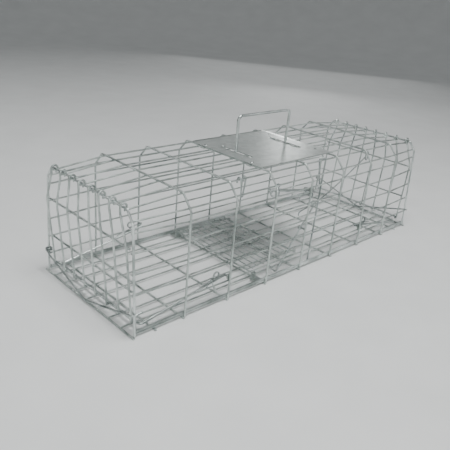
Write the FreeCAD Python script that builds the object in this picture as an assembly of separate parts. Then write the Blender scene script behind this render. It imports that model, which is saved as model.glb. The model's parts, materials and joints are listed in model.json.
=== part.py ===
"""Live catch trap: a welded-wire cage with a drop door at each end, a treadle and a top handle.

Millimetres. +X runs along the cage towards the rear door, +Y towards the far wall, +Z up.
The origin is at floor level under the middle of the cage. One STEP file is written per node.
"""
import math
import os

import FreeCAD
import Part

V = FreeCAD.Vector
os.makedirs("parts", exist_ok=True)

# ---------------------------------------------------------------- driving sizes
PITCH = 75.0            # hoop spacing along the cage
HALF_LEN = 4 * PITCH    # end hoops stand at +-300
HOOP_R = 1.35           # middle hoop wire radius
END_R = 1.5             # end hoop wire radius
LONG_R = 1.15           # lengthwise wire radius
EDGE_R = 1.6            # base edge rod radius
LEG_Y = 102.75          # middle hoop leg centre
BEND_Z = 142.5          # where a leg turns in to the roof chamfer
TOP_Y = 86.0            # where the chamfer meets the flat roof
TOP_Z = 161.7           # middle hoop roof centre
FOOT_Z = 2.5            # lower end of every hoop leg
END_FOOT_Y = 102.0      # the end hoops are narrower and lower at the top
END_BEND_Y = 94.5
END_BEND_Z = 141.0
END_TOP_Y = 83.0
END_TOP_Z = 155.7
WALL_Z = (28.0, 54.0, 80.0, 106.0, 130.0)      # lengthwise wires up each wall
ROOF_Y = (12.0, 36.0, 60.0, 82.5)              # lengthwise wires across each half of the roof
ROOF_END_Y = (13.9, 36.2, 57.2, 78.6)          # the same wires where they meet an end hoop
FLOOR_Y = tuple(26.25 * k for k in range(-3, 4))
NUB_Y = 104.8           # floor cross wires end just outside the legs
SILL_Z = 1.15           # centre height of the floor cross wires

DOOR_R = 1.3            # door wire radius
DOOR_TOP_STEP = 21.7    # bar spacing at the hinge hooks
DOOR_LOW_STEP = 25.6    # bar spacing below the bend
DOOR_BEND_X = -305.0
DOOR_BEND_Z = 113.0
DOOR_FOOT_X = -297.4
DOOR_FOOT_Z = 15.6
FOOT_BAR_R = 1.5
HOOK_GAP = 1.5          # slack of the hinge hooks round the end hoop
CURL_GAP = 0.25         # slack of the bars' lower curls round the foot bar

LOCK_R = 1.75           # lock frame rod radius
LOCK_X = -286.5
LOCK_Z = 8.6
LOCK_Y = 93.0
LOCK_PIVOT_X = -150.0
LOCK_PIVOT_Z = 33.5

PLATE_X0 = -77.5        # the handle plate overhangs the rear clips further than the front ones
PLATE_X1 = 86.5
PLATE_Y = 73.0
PLATE_Z = 163.1         # its underside lies on the hoops
PLATE_T = 0.8
HANDLE_R = 2.0
HANDLE_X = 54.0         # handle legs at the pivots, and the slots they rise through
HANDLE_TOP_X = 56.0     # the legs spread a little towards the grip
SLOT_HALF = 28.0
HANDLE_TOP = 216.0
HANDLE_PIVOT_Z = 158.5

TREADLE_X0 = -84.0      # pivot edge
TREADLE_X1 = 18.0
TREADLE_Y = 80.0
TREADLE_Z = 11.0
TREADLE_RISE = 2.4      # the free edge sits this much higher
FIT = 0.06              # radial running clearance of a pin in its eye


# ---------------------------------------------------------------- helpers
def save(name, *solids):
    """Write one node: a single solid, or a group of separate solids."""
    flat = []
    for item in solids:
        flat.extend(item.Solids)
    shape = flat[0] if len(flat) == 1 else Part.makeCompound(flat)
    shape.exportStep("parts/" + name + ".step")
    print(name, len(flat), "solids", round(shape.Volume, 1), "mm3")


def rod(a, b, r):
    """A straight round wire from a to b."""
    a, b = V(*a), V(*b)
    return Part.makeCylinder(r, (b - a).Length, a, b - a)


def path(points, bend):
    """Straight runs joined by tangent arcs of radius bend (one number, or one per inner corner)."""
    pts = [V(*p) for p in points]
    inner = len(pts) - 2
    radii = [bend] * inner if isinstance(bend, (int, float)) else list(bend)
    edges = []
    at = pts[0]
    for i in range(1, len(pts) - 1):
        into = (pts[i] - pts[i - 1]).normalize()
        out = (pts[i + 1] - pts[i]).normalize()
        turn = into.getAngle(out)
        if turn < 1e-4:
            continue
        back = radii[i - 1] * math.tan(turn / 2)
        start = pts[i] - into * back
        end = pts[i] + out * back
        side = (out - into).normalize()
        centre = pts[i] + side * (radii[i - 1] / math.cos(turn / 2))
        middle = centre - side * radii[i - 1]
        if (start - at).Length > 1e-6:
            edges.append(Part.LineSegment(at, start).toShape())
        edges.append(Part.Arc(start, middle, end).toShape())
        at = end
    edges.append(Part.LineSegment(at, pts[-1]).toShape())
    return edges


def sweep(edges, r):
    """Run a round section of radius r along a tangent chain of edges."""
    first = edges[0]
    start = first.valueAt(first.FirstParameter)
    tangent = first.tangentAt(first.FirstParameter)
    ring = Part.Wire(Part.makeCircle(r, start, tangent))
    pipe = Part.Wire(edges).makePipeShell([ring], True, False)
    want = math.pi * r * r * sum(e.Length for e in edges)
    if abs(pipe.Volume - want) > 0.02 * want:
        raise ValueError("sweep volume %.2f, expected %.2f" % (pipe.Volume, want))
    return pipe


def bent(points, r, bend):
    """A bent round wire through the given corner points."""
    return sweep(path(points, bend), r)


def arc_y(cx, y, cz, r, a0, a1):
    """Arc in a plane of constant y, angles in degrees from +X towards +Z."""
    def at(a):
        return V(cx + r * math.cos(math.radians(a)), y, cz + r * math.sin(math.radians(a)))
    return Part.Arc(at(a0), at((a0 + a1) / 2), at(a1)).toShape()


def line(a, b):
    return Part.LineSegment(V(*a), V(*b)).toShape()


def torus(centre, axis, ring, r):
    return Part.makeTorus(ring, r, V(*centre), V(*axis))


def one(*shapes):
    """Fuse pieces of one wire or one pressing into a single solid."""
    body = shapes[0].fuse(list(shapes[1:])).removeSplitter()
    if len(body.Solids) != 1:
        raise ValueError("expected one solid, got %d" % len(body.Solids))
    return body.Solids[0]


def mirror_x(shape):
    return shape.mirror(V(0, 0, 0), V(1, 0, 0))


def mirror_y(shape):
    return shape.mirror(V(0, 0, 0), V(0, 1, 0))


def box(x0, x1, y0, y1, z0, z1):
    return Part.makeBox(x1 - x0, y1 - y0, z1 - z0, V(x0, y0, z0))


# ---------------------------------------------------------------- cage hoops
def hoop(x, half, r, bend):
    """An inverted U with chamfered shoulders; half lists (y, z) from foot to roof corner."""
    left = [(x, -y, z) for y, z in half]
    right = [(x, y, z) for y, z in reversed(half)]
    return bent(left + right, r, bend)


mid_half = [(LEG_Y, FOOT_Z), (LEG_Y, BEND_Z), (TOP_Y, TOP_Z)]
end_half = [(END_FOOT_Y, FOOT_Z), (END_BEND_Y, END_BEND_Z), (END_TOP_Y, END_TOP_Z)]
save("mid_hoops", *[hoop(PITCH * n, mid_half, HOOP_R, 6.0) for n in range(-3, 4)])
save("end_hoops", *[hoop(s * HALF_LEN, end_half, END_R, 5.0) for s in (-1, 1)])


# ---------------------------------------------------------------- floor
def floor_cross(x):
    """A floor cross wire, its underside flattened where the cage stands on it."""
    wire = rod((x, -NUB_Y, SILL_Z), (x, NUB_Y, SILL_Z), HOOP_R)
    return wire.cut(box(x - 5, x + 5, -NUB_Y - 1, NUB_Y + 1, -5, 0))


SIDE = 2.6              # each cross wire lies beside the hoop legs
cross_x = [-SIDE - PITCH * n for n in range(5)] + [SIDE + PITCH * n for n in range(1, 5)]
cross_x += [-271.0, 271.0]
save("floor_cross_wires", *[floor_cross(x) for x in cross_x])
CROSS_TOP = SILL_Z + HOOP_R
floor_z = CROSS_TOP + LONG_R
save("floor_long_wires",
     *[rod((-HALF_LEN - 3.1, y, floor_z), (HALF_LEN + 3.1, y, floor_z), LONG_R) for y in FLOOR_Y])

EDGE_Y = LEG_Y - HOOP_R - EDGE_R - 0.05
edge_rods = []
for s in (-1, 1):
    for level in (0, 1):
        z = CROSS_TOP + EDGE_R + level * 2 * EDGE_R
        edge_rods.append(rod((-HALF_LEN + 1.8, s * EDGE_Y, z), (HALF_LEN - 1.8, s * EDGE_Y, z), EDGE_R))
save("base_edge_rods", *edge_rods)


# ---------------------------------------------------------------- lengthwise wires
def end_leg_y(z):
    """Centre of an end hoop's leg at height z."""
    return END_FOOT_Y + (END_BEND_Y - END_FOOT_Y) * (z - FOOT_Z) / (END_BEND_Z - FOOT_Z)


def lengthwise(y, z, y_end, z_end):
    """A wire that runs straight inside the middle hoops and pinches in to the end hoops.

    It is divided where the outermost middle hoops cross it, so that each length is straight.
    """
    x1, x2 = 3 * PITCH, HALF_LEN + 0.8
    wire = bent([(-x2, y_end, z_end), (-x1, y, z), (x1, y, z), (x2, y_end, z_end)], LONG_R, 40.0)
    cuts = (-x2 - 5, -x1, x1, x2 + 5)
    return [wire.common(box(a, b, -120, 120, 0, 200)) for a, b in zip(cuts, cuts[1:])]


in_mid = HOOP_R + LONG_R
in_end = END_R + LONG_R + 0.12
wall_wires = []
for z in WALL_Z:
    wall_wires += lengthwise(-(LEG_Y - in_mid), z, -(end_leg_y(z) - in_end), z)
wall_wires += lengthwise(-97.15, 144.95, -89.5, 142.65)
save("near_wall_wires", *wall_wires)
save("far_wall_wires", *[mirror_y(w) for w in wall_wires])

roof_wires = []
for y, y_end in zip(ROOF_Y, ROOF_END_Y):
    lengths = lengthwise(y, TOP_Z - in_mid, y_end, END_TOP_Z - in_end)
    roof_wires += lengths + [mirror_y(w) for w in lengths]
save("roof_wires", *roof_wires)


# ---------------------------------------------------------------- handle plate and handle
plate = box(PLATE_X0, PLATE_X1, -PLATE_Y, PLATE_Y, PLATE_Z, PLATE_Z + PLATE_T)
SLOT_R = 3.2             # half width of a slot, and the radius of its ends
for s in (-1, 1):
    slot = box(s * HANDLE_X - SLOT_R, s * HANDLE_X + SLOT_R, -SLOT_HALF, SLOT_HALF, PLATE_Z - 1, PLATE_Z + 2)
    for e in (-1, 1):
        slot = slot.fuse(Part.makeCylinder(SLOT_R, 4, V(s * HANDLE_X, e * SLOT_HALF, PLATE_Z - 1)))
    plate = plate.cut(slot)
# the long edges are folded back on themselves
HEM = 1.6
plate = plate.fuse(box(PLATE_X0, PLATE_X1, -PLATE_Y, -PLATE_Y + HEM, PLATE_Z, PLATE_Z + HEM))
plate = plate.fuse(box(PLATE_X0, PLATE_X1, PLATE_Y - HEM, PLATE_Y, PLATE_Z, PLATE_Z + HEM))
plate = plate.removeSplitter()
corners = [e for e in plate.Edges
           if min(abs(e.CenterOfMass.x - PLATE_X0), abs(e.CenterOfMass.x - PLATE_X1)) < 0.01
           and abs(abs(e.CenterOfMass.y) - PLATE_Y) < 0.01]
plate = plate.makeFillet(4.0, [e for e in corners if abs(e.Length - HEM) < 0.01])
RIVETS = [(s * 70.5, t * 48.0) for s in (-1, 1) for t in (-1, 1)]
RIVET_R = 1.55
RIVET_HOLE_R = 1.6
for x, y in RIVETS:
    plate = plate.cut(Part.makeCylinder(RIVET_HOLE_R, 5, V(x, y, PLATE_Z - 2)))
save("handle_plate", plate)


clips = []
for x, y in RIVETS:
    hx = math.copysign(PITCH, x)
    strap = box(hx - 6.8, hx + 6.8, y - 4.0, y + 4.0, TOP_Z - HOOP_R - 0.9, PLATE_Z)
    hollow = box(hx - 1.9, hx + 1.9, y - 5.0, y + 5.0, TOP_Z - HOOP_R, PLATE_Z + 1)
    clip = strap.cut(hollow)
    for x0, x1 in ((hx - 8.0, hx - 2.8), (hx + 2.8, hx + 8.0)):
        clip = clip.cut(box(x0, x1, y - 5.0, y + 5.0, TOP_Z - 5.0, PLATE_Z - 0.9))
    clips.append(clip.cut(Part.makeCylinder(RIVET_HOLE_R, 8, V(x, y, PLATE_Z - 4))))
save("plate_clips", *clips)

rivets = []
for x, y in RIVETS:
    shank = Part.makeCylinder(RIVET_R, 3.0, V(x, y, PLATE_Z - 1.4))
    head = Part.makeSphere(3.4, V(x, y, PLATE_Z + PLATE_T - 2.2))
    head = head.common(box(x - 5, x + 5, y - 5, y + 5, PLATE_Z + PLATE_T, PLATE_Z + 3))
    rivets.append(one(shank, head))
save("plate_rivets", *rivets)

HANDLE_FOOT_X = 67.0
handle = bent([(-HANDLE_FOOT_X, 0, HANDLE_PIVOT_Z), (-HANDLE_X, 0, HANDLE_PIVOT_Z),
               (-HANDLE_TOP_X, 0, HANDLE_TOP), (HANDLE_TOP_X, 0, HANDLE_TOP),
               (HANDLE_X, 0, HANDLE_PIVOT_Z), (HANDLE_FOOT_X, 0, HANDLE_PIVOT_Z)],
              HANDLE_R, [3.5, 7.0, 7.0, 3.5])
save("handle", handle)

SADDLE_R = 3.2
SADDLE_X0, SADDLE_X1 = 59.5, 65.5
saddles = []
for s in (-1, 1):
    x0, x1 = sorted((s * SADDLE_X0, s * SADDLE_X1))
    outer = Part.makeCylinder(SADDLE_R, x1 - x0, V(x0, 0, HANDLE_PIVOT_Z), V(1, 0, 0))
    body = outer.fuse(box(x0, x1, -SADDLE_R, SADDLE_R, HANDLE_PIVOT_Z, PLATE_Z))
    body = body.fuse(box(x0, x1, -9.0, 9.0, PLATE_Z - 1.0, PLATE_Z))
    bore = Part.makeCylinder(HANDLE_R + FIT, 20, V(x0 - 5, 0, HANDLE_PIVOT_Z), V(1, 0, 0))
    body = body.cut(bore).cut(box(x0 - 1, x1 + 1, -2.06, 2.06, HANDLE_PIVOT_Z + 2.9, PLATE_Z - 1.0))
    saddles.append(body.removeSplitter())
save("handle_saddles", *saddles)


# ---------------------------------------------------------------- doors (front one drawn, rear mirrored)
def door_bar(k):
    """One door bar: hinge hook over the end hoop, fan to the bend, straight to a hook round the foot bar."""
    y_top = (k - 3.5) * DOOR_TOP_STEP
    y_low = (k - 3.5) * DOOR_LOW_STEP
    curl = END_R + DOOR_R + HOOK_GAP
    hook = arc_y(-HALF_LEN, y_top, END_TOP_Z, curl, -75, 180)
    x_top = -HALF_LEN - curl
    drop = [(x_top, y_top, END_TOP_Z), (x_top, y_top, END_TOP_Z - 6.0),
            (DOOR_BEND_X, y_low, DOOR_BEND_Z), (DOOR_FOOT_X, y_low, DOOR_FOOT_Z + 8.0),
            (DOOR_FOOT_X, y_low, DOOR_FOOT_Z)]
    runs = path(drop, [12.0, 14.0, 30.0])
    wrap = FOOT_BAR_R + DOOR_R + CURL_GAP
    curl_low = arc_y(DOOR_FOOT_X + wrap, y_low, DOOR_FOOT_Z, wrap, 180, 350)
    return sweep([hook] + runs + [curl_low], DOOR_R)


def door_x(z):
    """Centre plane of the door bars at height z, below the bend."""
    low = DOOR_FOOT_Z + 8.0
    return DOOR_BEND_X + (DOOR_FOOT_X - DOOR_BEND_X) * (DOOR_BEND_Z - z) / (DOOR_BEND_Z - low)


door_bars = [door_bar(k) for k in range(8)]
span = 3.5 * DOOR_LOW_STEP + 2.0
door_cross = [rod((door_x(z) + off, -span, z), (door_x(z) + off, span, z), DOOR_R)
              for z, off in ((DOOR_BEND_Z - 1.5, 2 * DOOR_R + 0.6), (56.0, 2 * DOOR_R + 0.02))]
foot_x = DOOR_FOOT_X + FOOT_BAR_R + DOOR_R + CURL_GAP
foot_bar = rod((foot_x, -span - 0.6, DOOR_FOOT_Z), (foot_x, span + 0.6, DOOR_FOOT_Z), FOOT_BAR_R)
save("front_door_bars", *door_bars)
save("front_door_cross_wires", *door_cross)
save("front_door_foot_bar", foot_bar)
save("rear_door_bars", *[mirror_x(b) for b in door_bars])
save("rear_door_cross_wires", *[mirror_x(b) for b in door_cross])
save("rear_door_foot_bar", mirror_x(foot_bar))


# ---------------------------------------------------------------- sprung lock frames
PIN_END = LEG_Y - HOOP_R - 0.3
arms = bent([(LOCK_PIVOT_X, -LOCK_Y, LOCK_PIVOT_Z), (LOCK_X, -LOCK_Y, LOCK_Z), (LOCK_X, LOCK_Y, LOCK_Z),
             (LOCK_PIVOT_X, LOCK_Y, LOCK_PIVOT_Z)], LOCK_R, 6.0)
lock_parts = [arms]
for s in (-1, 1):
    lock_parts.append(Part.makeSphere(LOCK_R, V(LOCK_PIVOT_X, s * LOCK_Y, LOCK_PIVOT_Z)))
    inner = (LOCK_PIVOT_X, s * LOCK_Y, LOCK_PIVOT_Z)
    lock_parts.append(rod(inner, (LOCK_PIVOT_X, s * PIN_END, LOCK_PIVOT_Z), LOCK_R))
# thumb lever: a short leg welded across the near arm
LEVER_ALONG = 0.16      # its place, as a part of the arm's length from the pivot
LEVER_R = 1.4
LEVER_ABOVE = 4.8
LEVER_BELOW = 15.0
lever_x = LOCK_PIVOT_X + (LOCK_X - LOCK_PIVOT_X) * LEVER_ALONG
lever_z = LOCK_PIVOT_Z + (LOCK_Z - LOCK_PIVOT_Z) * LEVER_ALONG
lever_top = (lever_x - 2.0, -LOCK_Y + 1.5, lever_z + LEVER_ABOVE)
lever_tip = (lever_x + 5.0, -LOCK_Y - 1.5, lever_z - LEVER_BELOW)
lock_parts.append(rod(lever_top, lever_tip, LEVER_R))
lock_frame = one(*lock_parts)
save("front_lock_frame", lock_frame)
save("rear_lock_frame", mirror_x(lock_frame))

EYE_R = 4.0
EYE_WIDTH = 1.6
eyes = []
for sx in (-1, 1):
    for sy in (-1, 1):
        y_in, y_out = LEG_Y - HOOP_R - EYE_WIDTH, LEG_Y - HOOP_R
        a = (sx * LOCK_PIVOT_X, sy * y_in, LOCK_PIVOT_Z)
        b = (sx * LOCK_PIVOT_X, sy * y_out, LOCK_PIVOT_Z)
        eyes.append(rod(a, b, EYE_R).cut(rod(a, b, LOCK_R + FIT)))
save("lock_pivot_eyes", *eyes)


SPRING_X = LOCK_PIVOT_X - 19.0
SPRING_Y = -97.6
SPRING_Z = 39.5
SPRING_RING = 4.7        # coil radius to the centre of the wire
SPRING_R = 0.7
SPRING_PITCH = 1.6
SPRING_START = -80.0     # where the coil begins, degrees from +X towards +Z
SPRING_TURNS = 2.012     # the small extra turn tips the pressing leg down onto the arm
SPRING_CORNERS = 16      # the coil is rounded from this many corners
HELD_LEG = 22.0          # behind the hoop leg
PRESS_LEG = 27.0         # along the top of the lock arm


def lock_spring():
    """Near-side torsion spring: a coil above the arm, one leg held by the hoop leg, one pressing the arm."""
    step = 360 * SPRING_TURNS / SPRING_CORNERS
    corner_reach = SPRING_RING / math.cos(math.radians(step / 2))

    def at(steps, reach):
        turned = steps * step
        angle = math.radians(SPRING_START - turned)
        rise = SPRING_PITCH * turned / 360
        return V(SPRING_X + reach * math.cos(angle), SPRING_Y + rise, SPRING_Z + reach * math.sin(angle))

    corners = [at(k + 0.5, corner_reach) for k in range(SPRING_CORNERS)]
    first = at(0, SPRING_RING)
    last = at(SPRING_CORNERS, SPRING_RING)
    held = first + (first - corners[0]).normalize() * HELD_LEG
    press = last + (last - corners[-1]).normalize() * PRESS_LEG
    return bent([tuple(p) for p in (held, *corners, press)], SPRING_R, 0.9 * SPRING_RING)


spring = lock_spring()
save("front_lock_springs", spring, mirror_y(spring))
save("rear_lock_springs", mirror_x(spring), mirror_x(mirror_y(spring)))


# ---------------------------------------------------------------- threshold stop wires
def stop_wire():
    """A shallow V across the threshold: hooked round the near leg, coiled round the far leg."""
    r = 1.2
    x = -HALF_LEN - 4.6
    z_end = 32.0
    z_low = 2.65
    leg = end_leg_y(z_end)
    ring = END_R + r + 0.7
    near = [(-HALF_LEN + 9.0, -leg - 3.9, z_end + 2.4), (-HALF_LEN - 0.5, -leg - 3.9, z_end + 0.6),
            (x, -leg - 0.4, z_end - 0.6), (x, 0, z_low), (x, leg - 12.0, z_end - 3.4),
            (-HALF_LEN - ring, leg - 0.4, z_end)]
    body = bent(near, r, [2.0, 2.5, 24.0, 10.0])
    turn_one = torus((-HALF_LEN, leg, z_end), (0, 0, 1), ring, r + 0.05)
    turn_two = torus((-HALF_LEN, leg, z_end + 2.3), (0, 0.12, 1), ring, r + 0.05)
    return one(turn_one, turn_two, body)


stop = stop_wire()
save("front_stop_wire", stop)
save("rear_stop_wire", mirror_x(stop))


# ---------------------------------------------------------------- treadle
def treadle_z(x):
    return TREADLE_Z + TREADLE_RISE * (x - TREADLE_X0) / (TREADLE_X1 - TREADLE_X0)


FRAME_R = 1.3
side_pts = [(TREADLE_X0, -TREADLE_Y, TREADLE_Z), (TREADLE_X1, -TREADLE_Y, treadle_z(TREADLE_X1)),
            (TREADLE_X1, TREADLE_Y, treadle_z(TREADLE_X1)), (TREADLE_X0, TREADLE_Y, TREADLE_Z)]
u_frame = bent(side_pts, FRAME_R, 5.0)
pivot_half = TREADLE_Y + 9.0
pivot_rod = rod((TREADLE_X0, -pivot_half, TREADLE_Z), (TREADLE_X0, pivot_half, TREADLE_Z), FRAME_R)
save("treadle_frame", one(u_frame, pivot_rod))

long_r = 0.9
tread_long = []
for k in range(6):
    y = (k - 2.5) * 31.0
    if abs(y) > 70:
        y = math.copysign(73.5, y)
    lift = FRAME_R + long_r
    x_end = TREADLE_X1 + 1.5
    z_end = treadle_z(x_end) + lift
    pts = [(TREADLE_X0 - 1.5, y, treadle_z(TREADLE_X0 - 1.5) + lift), (x_end, y, z_end)]
    curl = sweep([arc_y(x_end, y, z_end - 3.05, 3.05, 90, -60)], long_r)
    tread_long.append(one(rod(pts[0], pts[1], long_r), Part.makeSphere(long_r, V(*pts[1])), curl))
save("treadle_long_wires", *tread_long)

cross_r = 0.75
tread_cross = []
count = 9
for k in range(count):
    x = TREADLE_X0 + 5.0 + (TREADLE_X1 - TREADLE_X0 - 10.0) * k / (count - 1)
    z = treadle_z(x) + FRAME_R + 2 * long_r + cross_r
    tread_cross.append(rod((x, -TREADLE_Y + 1.0, z), (x, TREADLE_Y - 1.0, z), cross_r))
save("treadle_cross_wires", *tread_cross)

EAR_R = 3.8
EAR_Y0, EAR_Y1 = TREADLE_Y + 4.0, TREADLE_Y + 6.4
BASE_Y1 = 98.05          # the base reaches just short of the edge rods
brackets = []
for s in (-1, 1):
    y0, y1 = sorted((s * EAR_Y0, s * EAR_Y1))
    ear = Part.makeCylinder(EAR_R, y1 - y0, V(TREADLE_X0, y0, TREADLE_Z), V(0, 1, 0))
    web = box(TREADLE_X0 - EAR_R, TREADLE_X0 + EAR_R, y0, y1, CROSS_TOP + 0.1, TREADLE_Z)
    yb0, yb1 = sorted((s * EAR_Y0, s * BASE_Y1))
    base = box(TREADLE_X0 - 5.0, TREADLE_X0 + 9.0, yb0, yb1, CROSS_TOP + 0.02, CROSS_TOP + 1.22)
    bracket = ear.fuse(web).fuse(base)
    bracket = bracket.cut(rod((TREADLE_X0, -100, TREADLE_Z), (TREADLE_X0, 100, TREADLE_Z), FRAME_R + FIT))
    bracket = bracket.removeSplitter()
    brackets.append(bracket)
save("treadle_brackets", *brackets)


# ---------------------------------------------------------------- trigger linkage on the near wall
ARM_Y = -93.5
ARM_R = 1.25
ARM_FOOT = (-44.5, ARM_Y, 4.9)
RING = (24.0, ARM_Y, 98.5)
slope = (RING[2] - ARM_FOOT[2]) / (RING[0] - ARM_FOOT[0])
PIVOT_X = 0.0
PIVOT_Z = ARM_FOOT[2] + slope * (PIVOT_X - ARM_FOOT[0])
PIN_R = 1.5
eye_ring = PIN_R + FIT + ARM_R
reach = V(RING[0] - ARM_FOOT[0], 0, RING[2] - ARM_FOOT[2]).normalize()
pivot = V(PIVOT_X, ARM_Y, PIVOT_Z)
low_end = pivot - reach * eye_ring
top_ring = 4.2
high_end = V(*RING) - V(0, 0, top_ring)
toe = (ARM_FOOT[0], -80.2, ARM_FOOT[2] + 3.6)
lower = bent([toe, ARM_FOOT, tuple(low_end)], ARM_R, 3.0)
upper = rod(tuple(pivot + reach * eye_ring), tuple(high_end), ARM_R)
loop = torus(tuple(pivot), (0, 1, 0), eye_ring, ARM_R)
ring = torus(RING, (1, 0, 0), top_ring, 1.0)
save("trigger_arm", one(lower, upper, loop, ring))


def headed_pin(x, z, y_tip):
    """A pin welded to the inside of the middle hoop's leg, with a head that keeps the wire on."""
    shank = rod((x, -LEG_Y + HOOP_R, z), (x, y_tip, z), PIN_R)
    head = rod((x, y_tip, z), (x, y_tip + 1.0, z), PIN_R + 1.6)
    return one(shank, head)


HOOK_Y = -93.5
HOOK_Z = 125.5
save("trigger_pins", headed_pin(PIVOT_X, PIVOT_Z, ARM_Y + 1.7), headed_pin(0.0, HOOK_Z, HOOK_Y + 1.5))

hook_r = 1.0
hook_ring = PIN_R + FIT + hook_r
left_tip = V(-72.0, HOOK_Y, 137.5)
right_tip = V(17.0, HOOK_Y, 122.9)
centre = V(0.0, HOOK_Y, HOOK_Z)
to_left = (left_tip - centre).normalize()
to_right = (right_tip - centre).normalize()
left_bar = rod(tuple(centre + to_left * hook_ring), tuple(left_tip), hook_r)
right_bar = rod(tuple(centre + to_right * hook_ring), tuple(right_tip), hook_r)
beak = arc_y(left_tip.x - 0.6, HOOK_Y, left_tip.z - 4.0, 4.05, 82, 290)
hook = one(left_bar, right_bar, torus(tuple(centre), (0, 1, 0), hook_ring, hook_r),
           sweep([beak], hook_r), Part.makeSphere(hook_r, left_tip), Part.makeSphere(hook_r, right_tip))
save("front_latch_hook", hook)

LINK_R = 1.0
LINK_END = (154.2, -87.0, 149.9)
link_pts = [(-4.0, ARM_Y, 93.0), (37.0, ARM_Y, 101.5), (94.0, -91.0, 123.5), LINK_END]
link = bent(link_pts, LINK_R, 30.0)
link_tail = bent([(-4.0, ARM_Y, 93.0), (-9.0, ARM_Y, 92.0), (-9.5, ARM_Y, 86.5)], LINK_R, 2.5)
# the upright loop that hooks the raised rear door's foot bar
eye_r = 3.0
eye_x = LINK_END[0] + eye_r
eye_low, eye_high = 147.6, 155.2
link_eye = [arc_y(eye_x, LINK_END[1], eye_high, eye_r, 0, 180),
            line((eye_x - eye_r, LINK_END[1], eye_high), (eye_x - eye_r, LINK_END[1], eye_low)),
            arc_y(eye_x, LINK_END[1], eye_low, eye_r, 180, 360),
            line((eye_x + eye_r, LINK_END[1], eye_low), (eye_x + eye_r, LINK_END[1], eye_high - 0.1))]
save("rear_link", one(link, link_tail, Part.makeSphere(LINK_R, V(*link_pts[0])), sweep(link_eye, LINK_R)))

# guide rod: hung over the outer roof wire, its long foot lying in the angle of wall and floor
roof_y, roof_z = -82.5, TOP_Z - in_mid
over = LONG_R + ARM_R + 0.3
rod_foot = (25.5, -96.6, CROSS_TOP + ARM_R + 0.1)
guide = bent([(-72.0, -96.6, CROSS_TOP + ARM_R + 0.1), rod_foot, (48.6, roof_y - over, roof_z - 1.0),
              (48.9, roof_y - over, roof_z + over), (41.5, roof_y + over, roof_z + over),
              (41.9, roof_y + over, roof_z - 4.0), (43.6, -84.6, 122.0)],
             ARM_R, [6.0, 1.2, 2.2, 2.2, 10.0])
save("trip_guide_rod", guide)

# long guide loop tied to the inside of the middle hoop's leg
loop_z, loop_y = 117.5, -LEG_Y + HOOP_R + 1.0
stadium = [arc_y(-19.0, loop_y, loop_z, 3.2, 90, 270),
           line((-19.0, loop_y, loop_z - 3.2), (5.0, loop_y, loop_z - 3.2)),
           arc_y(5.0, loop_y, loop_z, 3.2, -90, 90),
           line((5.0, loop_y, loop_z + 3.2), (-18.9, loop_y, loop_z + 3.2))]
save("guide_loop", sweep(stadium, 1.0))

# hairpin catch hung from the outer roof wire near the front door's raised foot
pin_r = 1.1
drop_y = roof_y - (LONG_R + pin_r + 0.3)
back_y = roof_y + LONG_R + pin_r + 0.4
over_z = roof_z + LONG_R + pin_r + 0.4
catch_pts = [(-130.0, back_y, roof_z - 5.0), (-129.0, back_y, over_z), (-128.5, drop_y, over_z),
             (-125.2, drop_y, 136.0), (-122.8, drop_y, 136.0), (-119.5, drop_y, over_z),
             (-119.0, back_y, over_z), (-118.0, back_y, roof_z - 5.0)]
save("front_catch", bent(catch_pts, pin_r, [1.6, 1.6, 1.2, 1.2, 1.6, 1.6]))

# curled keeper wrapped on the leg beside the front latch hook
keeper_r = 0.9
keeper_spine = Part.makeHelix(2.1, 8.4, HOOP_R + keeper_r + 0.05)
keeper_spine.translate(V(-PITCH, -LEG_Y, 132.2))
edge = keeper_spine.Edges[0]
start, heading = edge.valueAt(edge.FirstParameter), edge.tangentAt(edge.FirstParameter)
section = Part.Wire(Part.makeCircle(keeper_r, start, heading))
save("leg_keeper", Part.Wire(keeper_spine.Edges).makePipeShell([section], True, True))
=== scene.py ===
# %% [markdown]
# # Live catch trap
# A welded-wire cage with a door at each end, a treadle in the middle of the floor, a trigger linkage on
# one long wall and a folding handle on a sheet plate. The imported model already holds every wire. This
# script keeps those wires, gives each one the finish of its real metal, and adds what a maker's bench
# leaves behind: weld nuggets, a pressed lip round each slot, and a plate whose rear edge is bent down.

# %% Load the model
import json
import math
import random

import bmesh
import bpy
from mathutils import Matrix, Vector
from mathutils.bvhtree import BVHTree


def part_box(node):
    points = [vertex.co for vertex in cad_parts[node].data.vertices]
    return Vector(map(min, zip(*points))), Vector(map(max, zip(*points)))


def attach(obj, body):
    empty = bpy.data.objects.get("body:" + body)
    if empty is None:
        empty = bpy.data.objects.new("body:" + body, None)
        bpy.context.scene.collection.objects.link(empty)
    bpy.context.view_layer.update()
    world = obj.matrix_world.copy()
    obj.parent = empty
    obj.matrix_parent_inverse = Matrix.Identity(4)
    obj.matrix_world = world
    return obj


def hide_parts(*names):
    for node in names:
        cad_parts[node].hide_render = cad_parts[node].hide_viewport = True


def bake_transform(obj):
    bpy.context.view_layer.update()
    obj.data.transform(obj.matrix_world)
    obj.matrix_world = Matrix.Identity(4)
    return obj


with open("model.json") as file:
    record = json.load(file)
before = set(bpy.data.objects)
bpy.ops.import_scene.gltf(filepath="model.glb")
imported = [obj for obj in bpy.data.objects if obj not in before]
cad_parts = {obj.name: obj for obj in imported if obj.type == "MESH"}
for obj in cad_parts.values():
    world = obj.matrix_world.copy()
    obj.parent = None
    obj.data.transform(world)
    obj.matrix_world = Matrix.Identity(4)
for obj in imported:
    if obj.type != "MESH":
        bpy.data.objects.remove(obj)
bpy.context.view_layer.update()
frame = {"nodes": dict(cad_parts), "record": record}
nodes = frame["nodes"]
MM = 0.001

# %% [markdown]
# ## Colours and shader nodes
# Colours are easiest to choose as the hex values that a paint chart or a screen shows, which are sRGB.
# Shaders work in linear light, so one function converts them. One more function adds a shader node,
# sets its values and links its inputs, which keeps each material below short enough to read at once.

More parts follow.
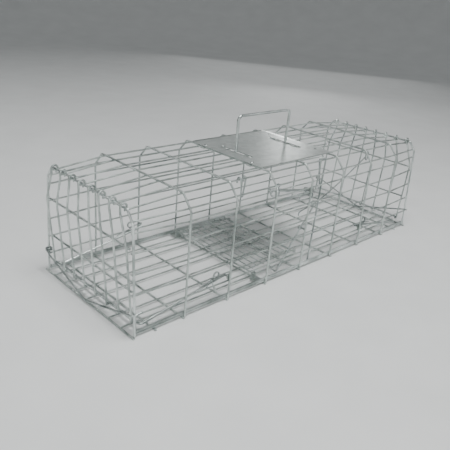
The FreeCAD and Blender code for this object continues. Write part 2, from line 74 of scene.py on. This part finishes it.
# %% Two small helpers for materials
def colour(hex_value):
    """A linear RGBA from an sRGB hex value."""
    parts = [int(hex_value[i:i + 2], 16) / 255 for i in (1, 3, 5)]
    linear = [p / 12.92 if p <= 0.04045 else ((p + 0.055) / 1.055) ** 2.4 for p in parts]
    return (*linear, 1.0)


def add(tree, kind, links=None, **settings):
    """One shader node; settings are its properties or input values, links its linked inputs."""
    node = tree.nodes.new(kind)
    for name, value in settings.items():
        if hasattr(node, name):
            setattr(node, name, value)
        else:
            node.inputs[name.replace("_", " ")].default_value = value
    for name, socket in (links or {}).items():
        key = name if isinstance(name, int) else name.replace("_", " ")
        tree.links.new(socket, node.inputs[key])
    return node


def start_material(name, **surface):
    """An empty metal or paint: its tree and its shader."""
    material = bpy.data.materials.new(name)
    material.use_nodes = True
    tree = material.node_tree
    shader = tree.nodes["Principled BSDF"]
    for key, value in surface.items():
        shader.inputs[key.replace("_", " ")].default_value = value
    return material, tree, shader


def ramp(tree, factor, stops):
    """A colour ramp over factor; stops are (position, hex)."""
    node = add(tree, "ShaderNodeValToRGB", {"Fac": factor})
    line = node.color_ramp
    while len(line.elements) < len(stops):
        line.elements.new(0.5)
    for element, (place, value) in zip(line.elements, stops):
        element.position = place
        element.color = colour(value)
    return node.outputs["Color"]


def spread(tree, factor, low, high):
    """factor from 0..1 moved into low..high."""
    node = add(tree, "ShaderNodeMapRange", {"Value": factor}, To_Min=low, To_Max=high)
    return node.outputs["Result"]


print("helpers ready")

# %% [markdown]
# ## Galvanised wire
# The cage is cold-drawn mild steel wire, welded first and then zinc plated. Drawing leaves fine lines
# along the wire, plating leaves a bright grey skin that goes cloudy in patches a few centimetres long.
# A noise texture gives the patches and a finer one gives the grain of the zinc. Real grain is
# about 0.1 mm, too fine to see on a whole cage, so it is drawn at 0.6 mm.

# %% Material: zinc-plated drawn wire
PATCH = 28 * MM         # length of a cloudy patch
GRAIN = 0.6 * MM        # drawn coarser than the real 0.1 mm so that it shows


def zinc(name, bright, cloudy, shadow, rough_low, rough_high, bump):
    """Plated steel: three greys from bright zinc to dull oxide, and a roughness that follows them."""
    material, tree, shader = start_material(name, Metallic=1.0)
    place = add(tree, "ShaderNodeTexCoord").outputs["Object"]
    patches = add(tree, "ShaderNodeTexNoise", {"Vector": place}, Scale=1 / PATCH, Detail=4.0,
                  Roughness=0.6).outputs["Fac"]
    grain = add(tree, "ShaderNodeTexNoise", {"Vector": place}, Scale=1 / GRAIN, Detail=2.0).outputs["Fac"]
    tree.links.new(ramp(tree, patches, [(0.30, shadow), (0.46, cloudy), (0.62, bright)]),
                   shader.inputs["Base Color"])
    mixed = add(tree, "ShaderNodeMath", {0: patches, 1: grain}, operation="MULTIPLY").outputs[0]
    tree.links.new(spread(tree, mixed, rough_high, rough_low), shader.inputs["Roughness"])
    relief = add(tree, "ShaderNodeBump", {"Height": grain}, Strength=bump, Distance=0.02 * MM)
    tree.links.new(relief.outputs["Normal"], shader.inputs["Normal"])
    return material


mesh_zinc = zinc("zinc_plated_drawn_wire", "#D2D9D6", "#B7BFBC", "#8F9895", 0.22, 0.42, 0.5)
rod_zinc = zinc("bright_zinc_rod", "#DEE4E2", "#C6CDCB", "#9FA8A5", 0.17, 0.34, 0.35)
spring_zinc = zinc("zinc_plated_spring_wire", "#C4CBC9", "#A8B0AE", "#828B89", 0.20, 0.40, 0.4)
pin_zinc = zinc("zinc_plated_turned_pin", "#C2C8C6", "#A9B0AE", "#8A918F", 0.22, 0.40, 0.3)
print("wire finishes", [m.name for m in (mesh_zinc, rod_zinc, spring_zinc, pin_zinc)])

# %% [markdown]
# ## Galvanised sheet
# The plate under the handle is cut from hot-dip galvanised sheet. The zinc freezes in flat crystals, called
# spangle, 6 to 12 mm across, that differ by a few percent in brightness, and the rolling mill leaves
# faint lines along the strip. A Voronoi texture gives each crystal one value, and a noise stretched
# sixty times along X gives the rolling lines.

# %% Material: galvanised sheet
SPANGLE = 8 * MM
ROLL_LINE = 1.2 * MM

sheet_zinc, tree, shader = start_material("hot_dip_galvanised_sheet", Metallic=1.0)
place = add(tree, "ShaderNodeTexCoord").outputs["Object"]
crystals = add(tree, "ShaderNodeTexVoronoi", {"Vector": place}, Scale=1 / SPANGLE, Randomness=1.0)
stretched = add(tree, "ShaderNodeMapping", {"Vector": place}, Scale=(1 / 60, 1.0, 1.0)).outputs["Vector"]
lines = add(tree, "ShaderNodeTexNoise", {"Vector": stretched}, Scale=1 / ROLL_LINE, Detail=3.0).outputs["Fac"]
grey = add(tree, "ShaderNodeSeparateColor", {"Color": crystals.outputs["Color"]}).outputs["Red"]
both = add(tree, "ShaderNodeMath", {0: grey, 1: lines}, operation="ADD").outputs[0]
half = add(tree, "ShaderNodeMath", {0: both}, operation="MULTIPLY")
half.inputs[1].default_value = 0.5
tree.links.new(ramp(tree, half.outputs[0], [(0.20, "#B3BAB7"), (0.50, "#BBC2BF"), (0.80, "#C4CAC7")]),
               shader.inputs["Base Color"])
tree.links.new(spread(tree, half.outputs[0], 0.38, 0.28), shader.inputs["Roughness"])
relief = add(tree, "ShaderNodeBump", {"Height": lines}, Strength=0.25, Distance=0.02 * MM)
tree.links.new(relief.outputs["Normal"], shader.inputs["Normal"])
print("sheet finish", sheet_zinc.name)

# %% [markdown]
# ## Every node gets its own metal
# The wires' shapes are right as they are, so those nodes stay and only their material changes. Only the
# plate and the lock springs are made again, further down. The record's slots already say which metal
# each node is made of, so the slot picks the finish.

# %% Assign the finishes
FINISH = {
    "galvanised_mesh_wire": mesh_zinc,
    "bright_zinc_rod": rod_zinc,
    "galvanised_sheet": sheet_zinc,
    "turned_steel_pins": pin_zinc,
    "spring_wire": spring_zinc,
}
for part in frame["record"]["subparts"]:
    node = nodes[part["node"]]
    node.data.materials.clear()
    node.data.materials.append(FINISH[part["material_slot"]])

# %% [markdown]
# ## The pressed handle plate
# The real plate is cut from sheet, its two long edges are folded over so that they don't cut a hand,
# and its rear edge is dressed down past the last hoop. A flat curve with holes gives the blank with its
# slots in one step. Cutting that blank across at the bend lets the rear edge turn down, which a solid
# block could not do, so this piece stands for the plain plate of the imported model.

# %% Plate blank
plate_low, plate_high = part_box("handle_plate")
SHEET = 0.8 * MM
EDGE_ROUND = 0.12 * MM  # a cut edge is never quite sharp
HEM_HALF = 0.8 * MM     # the folded edge is two sheets thick
CORNER = 4 * MM
SLOT_HALF_WIDTH = 3.2 * MM
SLOT_HALF_LENGTH = 28 * MM
SLOT_X = 54 * MM


def outline(centre_x, centre_y, half_x, half_y, radius, steps=6):
    """Points of a rectangle with rounded corners, anticlockwise."""
    points = []
    for quarter in range(4):
        sign_x = 1 if quarter in (0, 3) else -1
        sign_y = 1 if quarter in (0, 1) else -1
        for k in range(steps + 1):
            a = math.radians(90 * quarter + 90 * k / steps)
            x = centre_x + sign_x * (half_x - radius) + radius * math.cos(a)
            y = centre_y + sign_y * (half_y - radius) + radius * math.sin(a)
            points.append((x, y))
    return points


def sheet_blank(name, loops, thickness, edge):
    """A flat sheet whose first loop is its outline and whose other loops are holes."""
    curve = bpy.data.curves.new(name, "CURVE")
    curve.dimensions = "2D"
    curve.fill_mode = "BOTH"
    curve.extrude = thickness / 2 - edge
    curve.bevel_depth = edge
    curve.offset = -edge
    for loop in loops:
        spline = curve.splines.new("POLY")
        spline.points.add(len(loop) - 1)
        for point, (x, y) in zip(spline.points, loop):
            point.co = (x, y, 0, 1)
        spline.use_cyclic_u = True
    holder = bpy.data.objects.new(name, curve)
    mesh = bpy.data.meshes.new_from_object(holder)
    bpy.data.objects.remove(holder)
    return mesh


middle_x = (plate_low[0] + plate_high[0]) / 2
half_x = (plate_high[0] - plate_low[0]) / 2
half_y = (plate_high[1] - plate_low[1]) / 2
holes = [outline(side * SLOT_X, 0, SLOT_HALF_WIDTH, SLOT_HALF_LENGTH + SLOT_HALF_WIDTH, SLOT_HALF_WIDTH)
         for side in (-1, 1)]
blank = sheet_blank("plate_blank", [outline(middle_x, 0, half_x, half_y - HEM_HALF, CORNER)] + holes,
                    SHEET, EDGE_ROUND)
print("blank", len(blank.vertices), "vertices")

# %% [markdown]
# ## The bend and the folded edges
# A mesh only bends where it has edges. The blank is one big face on top and one below, so it is first
# cut into narrow strips across the bend, and then each point past the bend is lowered. Sheet keeps its
# thickness, so the top and the underside go down together. Each folded edge is a closed round bar.

# %% Bend the rear edge down and fold the long edges
BEND_AT = 74.2 * MM     # over the hoop under it
BEND_LENGTH = 7.2 * MM  # the bend is spread over this much
BEND_STRIPS = 9
DROP_ANGLE = math.radians(8)
HEM_SIDES = 14
plate_mesh = bmesh.new()
plate_mesh.from_mesh(blank)
for x in [BEND_AT + BEND_LENGTH * k / BEND_STRIPS for k in range(BEND_STRIPS + 1)]:
    everything = plate_mesh.verts[:] + plate_mesh.edges[:] + plate_mesh.faces[:]
    bmesh.ops.bisect_plane(plate_mesh, geom=everything, plane_co=(x, 0, 0), plane_no=(1, 0, 0), dist=1e-7)
for vert in plate_mesh.verts:
    past = max(0.0, vert.co.x - BEND_AT)
    eased = past ** 2 / (2 * BEND_LENGTH) if past < BEND_LENGTH else past - BEND_LENGTH / 2
    vert.co.z += plate_low[2] + SHEET / 2 - eased * math.tan(DROP_ANGLE)
hem_start = plate_low[0] + CORNER
for side in (-1, 1):
    middle = ((hem_start + BEND_AT) / 2, side * (half_y - HEM_HALF), plate_low[2] + HEM_HALF)
    place = Matrix.Translation(middle)
    roll = Matrix.Rotation(math.pi / 2, 4, "Y")
    bmesh.ops.create_cone(plate_mesh, segments=HEM_SIDES, radius1=HEM_HALF, radius2=HEM_HALF,
                          depth=BEND_AT - hem_start, cap_ends=True, matrix=place @ roll)
bmesh.ops.remove_doubles(plate_mesh, verts=plate_mesh.verts[:], dist=0.01 * MM)
pressed = bpy.data.meshes.new("pressed_plate")
plate_mesh.to_mesh(pressed)
plate_mesh.free()
for polygon in pressed.polygons:
    polygon.use_smooth = False
plate = bpy.data.objects.new("pressed_plate", pressed)
pressed.materials.append(sheet_zinc)
bpy.context.scene.collection.objects.link(plate)
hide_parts("handle_plate")
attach(plate, "cage")
print("plate", len(pressed.polygons), "faces")

# %% [markdown]
# ## Slot lips
# Where the handle's legs rise, the press leaves a rounded lip round each slot so that the wire does not
# wear on a raw edge. A thin bead that follows the slot catches the light and outlines it. A curve with a
# round bevel is the shortest way to make a bead along a line.

# %% Beads and springs share one helper
def wire(name, runs, radius, material, cyclic=False):
    """Round wire along each list of points; a mesh piece."""
    curve = bpy.data.curves.new(name, "CURVE")
    curve.dimensions = "3D"
    curve.bevel_depth = radius
    curve.bevel_resolution = 3
    curve.use_fill_caps = not cyclic
    for run in runs:
        spline = curve.splines.new("POLY")
        spline.points.add(len(run) - 1)
        for point, co in zip(spline.points, run):
            point.co = (*co, 1)
        spline.use_cyclic_u = cyclic
    holder = bpy.data.objects.new(name, curve)
    mesh = bpy.data.meshes.new_from_object(holder)
    bpy.data.objects.remove(holder)
    for polygon in mesh.polygons:
        polygon.use_smooth = True
    mesh.materials.clear()
    mesh.materials.append(material)
    piece = bpy.data.objects.new(name, mesh)
    bpy.context.scene.collection.objects.link(piece)
    return piece


lip_z = plate_low[2] + SHEET
LIP_R = 0.45 * MM
lip_runs = [[(x, y, lip_z) for x, y in outline(side * SLOT_X, 0, SLOT_HALF_WIDTH + LIP_R,
             SLOT_HALF_LENGTH + SLOT_HALF_WIDTH + LIP_R, SLOT_HALF_WIDTH + LIP_R)] for side in (-1, 1)]
lips = wire("slot_lips", lip_runs, LIP_R, sheet_zinc, cyclic=True)
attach(lips, "cage")
print("lips", len(lips.data.polygons), "faces")

# %% [markdown]
# ## Lock springs wound from wire
# Each lock frame is pushed down by a small torsion spring on each side: one leg is held behind the hoop,
# the other presses on the frame's arm. When the frame lifts, the pressing leg goes with it. A rigid
# spring would be cut by the arm. These are made again as wire, a held leg, a coil and a pressing leg,
# but they are fixed in place and do not move with the lock frame.

# %% Lock springs
SPRING_RING = 4.7 * MM
SPRING_WIRE = 0.7 * MM
SPRING_PITCH = 1.6 * MM
SPRING_START = -80.0
SPRING_TURNS = 2.012
SPRING_CENTRE = (-169 * MM, -97.6 * MM, 39.5 * MM)
HELD_LEG = 22 * MM
PRESS_LEG = 27 * MM
STEPS = 56              # straight pieces in a coil
LEG_STEPS = 10          # and in a pressing leg


def spring_run(flip_x, flip_y):
    """Points of one spring: held leg, coil, pressing leg."""
    cx, cy, cz = SPRING_CENTRE
    coil = []
    for k in range(STEPS + 1):
        turned = 360 * SPRING_TURNS * k / STEPS
        a = math.radians(SPRING_START - turned)
        rise = SPRING_PITCH * turned / 360
        coil.append(Vector((cx + SPRING_RING * math.cos(a), cy + rise, cz + SPRING_RING * math.sin(a))))
    start = coil[0] + (coil[0] - coil[1]).normalized() * HELD_LEG
    heading = (coil[-1] - coil[-2]).normalized()
    leg = [coil[-1] + heading * PRESS_LEG * k / LEG_STEPS for k in range(1, LEG_STEPS + 1)]
    return [(p.x * flip_x, p.y * flip_y, p.z) for p in [start] + coil + leg]


for end, flip_x in (("front", 1), ("rear", -1)):
    springs = wire(end + "_torsion_springs", [spring_run(flip_x, side) for side in (1, -1)],
                   SPRING_WIRE, spring_zinc)
    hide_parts(end + "_lock_springs")
    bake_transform(springs)
    print(end, "springs", len(springs.data.polygons), "faces")

# %% [markdown]
# ## Weld nuggets
# Every crossing of two wires was pinched between electrodes and fused. The joint is a small squashed
# bead, a little wider than the wire is deep. The crossings are found from the wires: each lengthwise
# wire is cut by a plane where another wire passes, and the closest point on that wire is the weld.

# %% Take a node apart into its wires
JOIN = 0.002 * MM       # points closer than this are one point


def wires_of(name):
    """The separate wires of a node: a list of edges (pairs of points) for each."""
    mesh = bmesh.new()
    mesh.from_mesh(nodes[name].data)
    bmesh.ops.remove_doubles(mesh, verts=mesh.verts[:], dist=JOIN)
    left = set(mesh.verts)
    found = []
    while left:
        stack = [left.pop()]
        edges = set()
        while stack:
            vert = stack.pop()
            for edge in vert.link_edges:
                edges.add(edge)
                other = edge.other_vert(vert)
                if other in left:
                    left.remove(other)
                    stack.append(other)
        found.append([(e.verts[0].co.copy(), e.verts[1].co.copy()) for e in edges])
    mesh.free()
    return found


def centre_at(edges, axis, station):
    """Centre of a wire where the plane axis = station cuts it, or None."""
    cuts = []
    for a, b in edges:
        da, db = a[axis] - station, b[axis] - station
        if (da < 0) != (db < 0):
            cuts.append(a.lerp(b, da / (da - db)))
    if len(cuts) < 3:
        return None
    lows = [min(c[i] for c in cuts) for i in range(3)]
    highs = [max(c[i] for c in cuts) for i in range(3)]
    return Vector([(lo + hi) / 2 for lo, hi in zip(lows, highs)])


print("wires of the roof", len(wires_of("roof_wires")))

# %% [markdown]
# ## From wires to crossings
# A wire's centre is known at any plane across it. What is left is to ask how far the nearest point of
# the other node's surface lies. A BVH tree sorts the faces into nested boxes, so that this takes a few
# steps for each question instead of a look at every face.

# %% Find the crossings
def surface(name):
    """A tree of a node's faces, quick to search for the nearest point."""
    mesh = nodes[name].data
    return BVHTree.FromPolygons([v.co for v in mesh.vertices], [p.vertices for p in mesh.polygons])


def crossings(runners, axis, stations, others, reach):
    """Where the wires of one node pass within reach of another node's surface."""
    trees = [surface(name) for name in others]
    spots = []
    for name in runners:
        for edges in wires_of(name):
            for station in stations:
                centre = centre_at(edges, axis, station)
                if centre is None:
                    continue
                for tree in trees:
                    hit = tree.find_nearest(centre, reach)
                    if hit[0] is not None:
                        spots.append((hit[0], (hit[0] - centre).normalized()))
    return spots


def middles(name, axis):
    """The middle of each wire of a node along one axis."""
    found = []
    for edges in wires_of(name):
        values = [p[axis] for pair in edges for p in pair]
        found.append((min(values) + max(values)) / 2)
    return found


NUDGE = 0.05 * MM       # off the hoop's own plane, so that a wire divided there is cut once
REACH = 1.6 * MM
hoop_x = middles("mid_hoops", 0) + middles("end_hoops", 0)
hoop_x = [x - math.copysign(NUDGE, x) for x in hoop_x]
cage_spots = crossings(["near_wall_wires", "far_wall_wires", "roof_wires"], 0, hoop_x,
                       ["mid_hoops", "end_hoops"], REACH)
floor_x = middles("floor_cross_wires", 0)
cage_spots += crossings(["floor_long_wires"], 0, floor_x, ["floor_cross_wires"], REACH)
# the two stacked edge rods touch and are measured as one, so their common centre lies further away
PAIR_REACH = 3.4 * MM
cage_spots += crossings(["base_edge_rods"], 0, floor_x, ["floor_cross_wires"], PAIR_REACH)
print("cage crossings", len(cage_spots))

# %% [markdown]
# ## From crossings to nuggets
# A weld bead is a ball pressed flat along the line of the pinch, and no two come out alike. So each one
# is a small sphere, squashed along that line, with a size drawn from a random stream that starts from the
# piece's name. The stream is the same each run, but the wires come in no fixed order, so which bead gets
# which size can change from run to run. Zinc lies rougher and duller over a weld than on drawn wire.

# %% Make the nuggets
NUGGET = 1.15 * MM
SMALL_NUGGET = 0.85 * MM    # the treadle's wires are thinner
FLAT_NUGGET = 0.75          # squashed along the pinch
DOOR_REACH = 2 * MM
TREADLE_REACH = 1.2 * MM


def nuggets(name, spots, body, material, size=NUGGET):
    """One mesh of squashed beads, one at each crossing, each a little different."""
    shuffle = random.Random(name)
    mesh = bmesh.new()
    for spot, pinch in spots:
        turn = pinch.to_track_quat("Z", "X").to_matrix().to_4x4()
        r = size * shuffle.uniform(0.85, 1.12)
        squash = Matrix.Diagonal((r, r * shuffle.uniform(0.85, 1.1), r * FLAT_NUGGET, 1.0))
        bmesh.ops.create_icosphere(mesh, subdivisions=2, radius=1.0,
                                   matrix=Matrix.Translation(spot) @ turn @ squash)
    for face in mesh.faces:
        face.smooth = True
    data = bpy.data.meshes.new(name)
    mesh.to_mesh(data)
    mesh.free()
    data.materials.append(material)
    piece = bpy.data.objects.new(name, data)
    bpy.context.scene.collection.objects.link(piece)
    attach(piece, body)
    print(name, len(spots), "welds")
    return piece


weld_zinc = zinc("zinc_over_weld_bead", "#C2C9C6", "#A6AEAB", "#818A87", 0.30, 0.52, 0.6)
nuggets("cage_welds", cage_spots, "cage", weld_zinc)
for end in ("front", "rear"):
    bars, across = end + "_door_bars", end + "_door_cross_wires"
    spots = crossings([bars], 2, middles(across, 2), [across], DOOR_REACH)
    nuggets(end + "_door_welds", spots, end + "_door", weld_zinc)
tread = crossings(["treadle_long_wires"], 0, middles("treadle_cross_wires", 0), ["treadle_cross_wires"],
                  TREADLE_REACH)
nuggets("treadle_welds", tread, "treadle", weld_zinc, size=SMALL_NUGGET)

# %% [markdown]
# ## Floor
# Bright wire suits a pale matt floor, like seamless paper swept up behind a product. It is a disc whose
# rim curves up into the backdrop, so there is no line where a floor would meet a wall. Its tone varies a
# little in patches a hand wide, as painted or rolled paper does.

# %% Floor
MOTTLE = 90 * MM        # width of a patch
DISC = 0.4              # radius of the middle face, metres
FLOOR_DROP = 0.3 * MM   # keeps the floor clear of the wires' undersides
floor_mat, tree, shader = start_material("matt_pale_floor", Roughness=0.85)
place = add(tree, "ShaderNodeTexCoord").outputs["Object"]
mottle = add(tree, "ShaderNodeTexNoise", {"Vector": place}, Scale=1 / MOTTLE, Detail=5.0).outputs["Fac"]
tree.links.new(ramp(tree, mottle, [(0.3, "#D8DAD9"), (0.7, "#DEE0DF")]), shader.inputs["Base Color"])

FLAT = 2.4              # radius of the flat floor, metres
SWEEP = 1.6             # radius of the curve that carries it up into the backdrop
ground = bmesh.new()
rings = [(DISC, 0.0), (FLAT, 0.0)]
rings += [(FLAT + SWEEP * math.sin(math.radians(a)), SWEEP * (1 - math.cos(math.radians(a))))
          for a in range(6, 91, 6)]
SIDES = 96
loops = []
for radius, height in rings:
    turns = [math.tau * k / SIDES for k in range(SIDES)]
    loops.append([ground.verts.new((radius * math.cos(t), radius * math.sin(t), height)) for t in turns])
ground.faces.new(loops[0])
for inner, outer in zip(loops, loops[1:]):
    for k in range(SIDES):
        ground.faces.new((inner[k], outer[k], outer[(k + 1) % SIDES], inner[(k + 1) % SIDES]))
for face in ground.faces:
    face.smooth = True
floor_mesh = bpy.data.meshes.new("floor")
ground.to_mesh(floor_mesh)
ground.free()
floor = bpy.data.objects.new("floor", floor_mesh)
floor.location.z = -FLOOR_DROP
floor_mesh.materials.append(floor_mat)
bpy.context.scene.collection.objects.link(floor)
print("floor at", floor.location.z)

# %% [markdown]
# ## Lights
# A wire is a tiny round mirror, and it can only show lights that lie on a cone about its own length. So
# each light has a job: the top one makes the floor pale, the side one lies on the cone of the lengthwise
# wires, the back one on the cone of the wires that cross the cage, the key one fills the near side, and a
# large dim panel stands where the flat plate looks. A small light lower down is mirrored only where the
# plate bends, and draws the bend as a stripe.

# %% Lights
def soft_light(name, place, aim, size, watts):
    """A square area light at place, pointing at aim; it lights and is reflected, but isn't seen itself."""
    data = bpy.data.lights.new(name, "AREA")
    data.size = size
    data.energy = watts
    lamp = bpy.data.objects.new(name, data)
    lamp.location = place
    lamp.rotation_euler = (Vector(aim) - Vector(place)).to_track_quat("-Z", "Y").to_euler()
    lamp.visible_camera = False
    bpy.context.scene.collection.objects.link(lamp)
    return lamp


MIDDLE = (0.0, 0.0, 0.08)
soft_light("top", (-0.15, -0.35, 1.7), MIDDLE, 0.7, 30.0)
soft_light("side", (1.5, -1.05, 0.85), MIDDLE, 0.3, 3.0)
soft_light("back", (-0.9, 1.25, 1.2), MIDDLE, 0.3, 3.0)
soft_light("key", (-1.35, -1.25, 0.85), MIDDLE, 0.4, 15.0)
soft_light("panel", (1.65, 1.3, 0.72), (0.0, 0.0, 0.16), 1.3, 2.2)
soft_light("stripe", (1.26, 0.96, 0.37), (0.08, 0.0, 0.16), 0.14, 0.9)

world = bpy.data.worlds.new("studio")
world.use_nodes = True
sky = world.node_tree.nodes["Background"]
sky.inputs["Color"].default_value = colour("#DCE2E6")
sky.inputs["Strength"].default_value = 0.17
bpy.context.scene.world = world

# %% [markdown]
# ## Camera
# A camera is placed by where it stands and what it looks at. Its three axes follow from those two points:
# forward is the line between them, right is level with the ground, and up is square to both. Then it is
# rolled a little about the forward line, as a camera held in the hand would be.

# %% Camera
EYE = Vector((-0.625, -0.550, 0.389))
AIM = Vector((-0.044, 0.019, 0.038))
ROLL = math.radians(5.25)
FOCAL = 45.06           # millimetres, on a frame 36 wide
forward = (AIM - EYE).normalized()
level = forward.cross(Vector((0, 0, 1))).normalized()
right = level * math.cos(ROLL) + level.cross(forward) * math.sin(ROLL)
up = right.cross(forward)

lens = bpy.data.cameras.new("studio_camera")
lens.sensor_width = 36.0
lens.lens = FOCAL
camera = bpy.data.objects.new("studio_camera", lens)
turn = Matrix((right, up, -forward)).transposed()
camera.matrix_world = Matrix.Translation(EYE) @ turn.to_4x4()
bpy.context.scene.collection.objects.link(camera)
bpy.context.scene.camera = camera
print("camera", [round(v, 3) for v in camera.location])
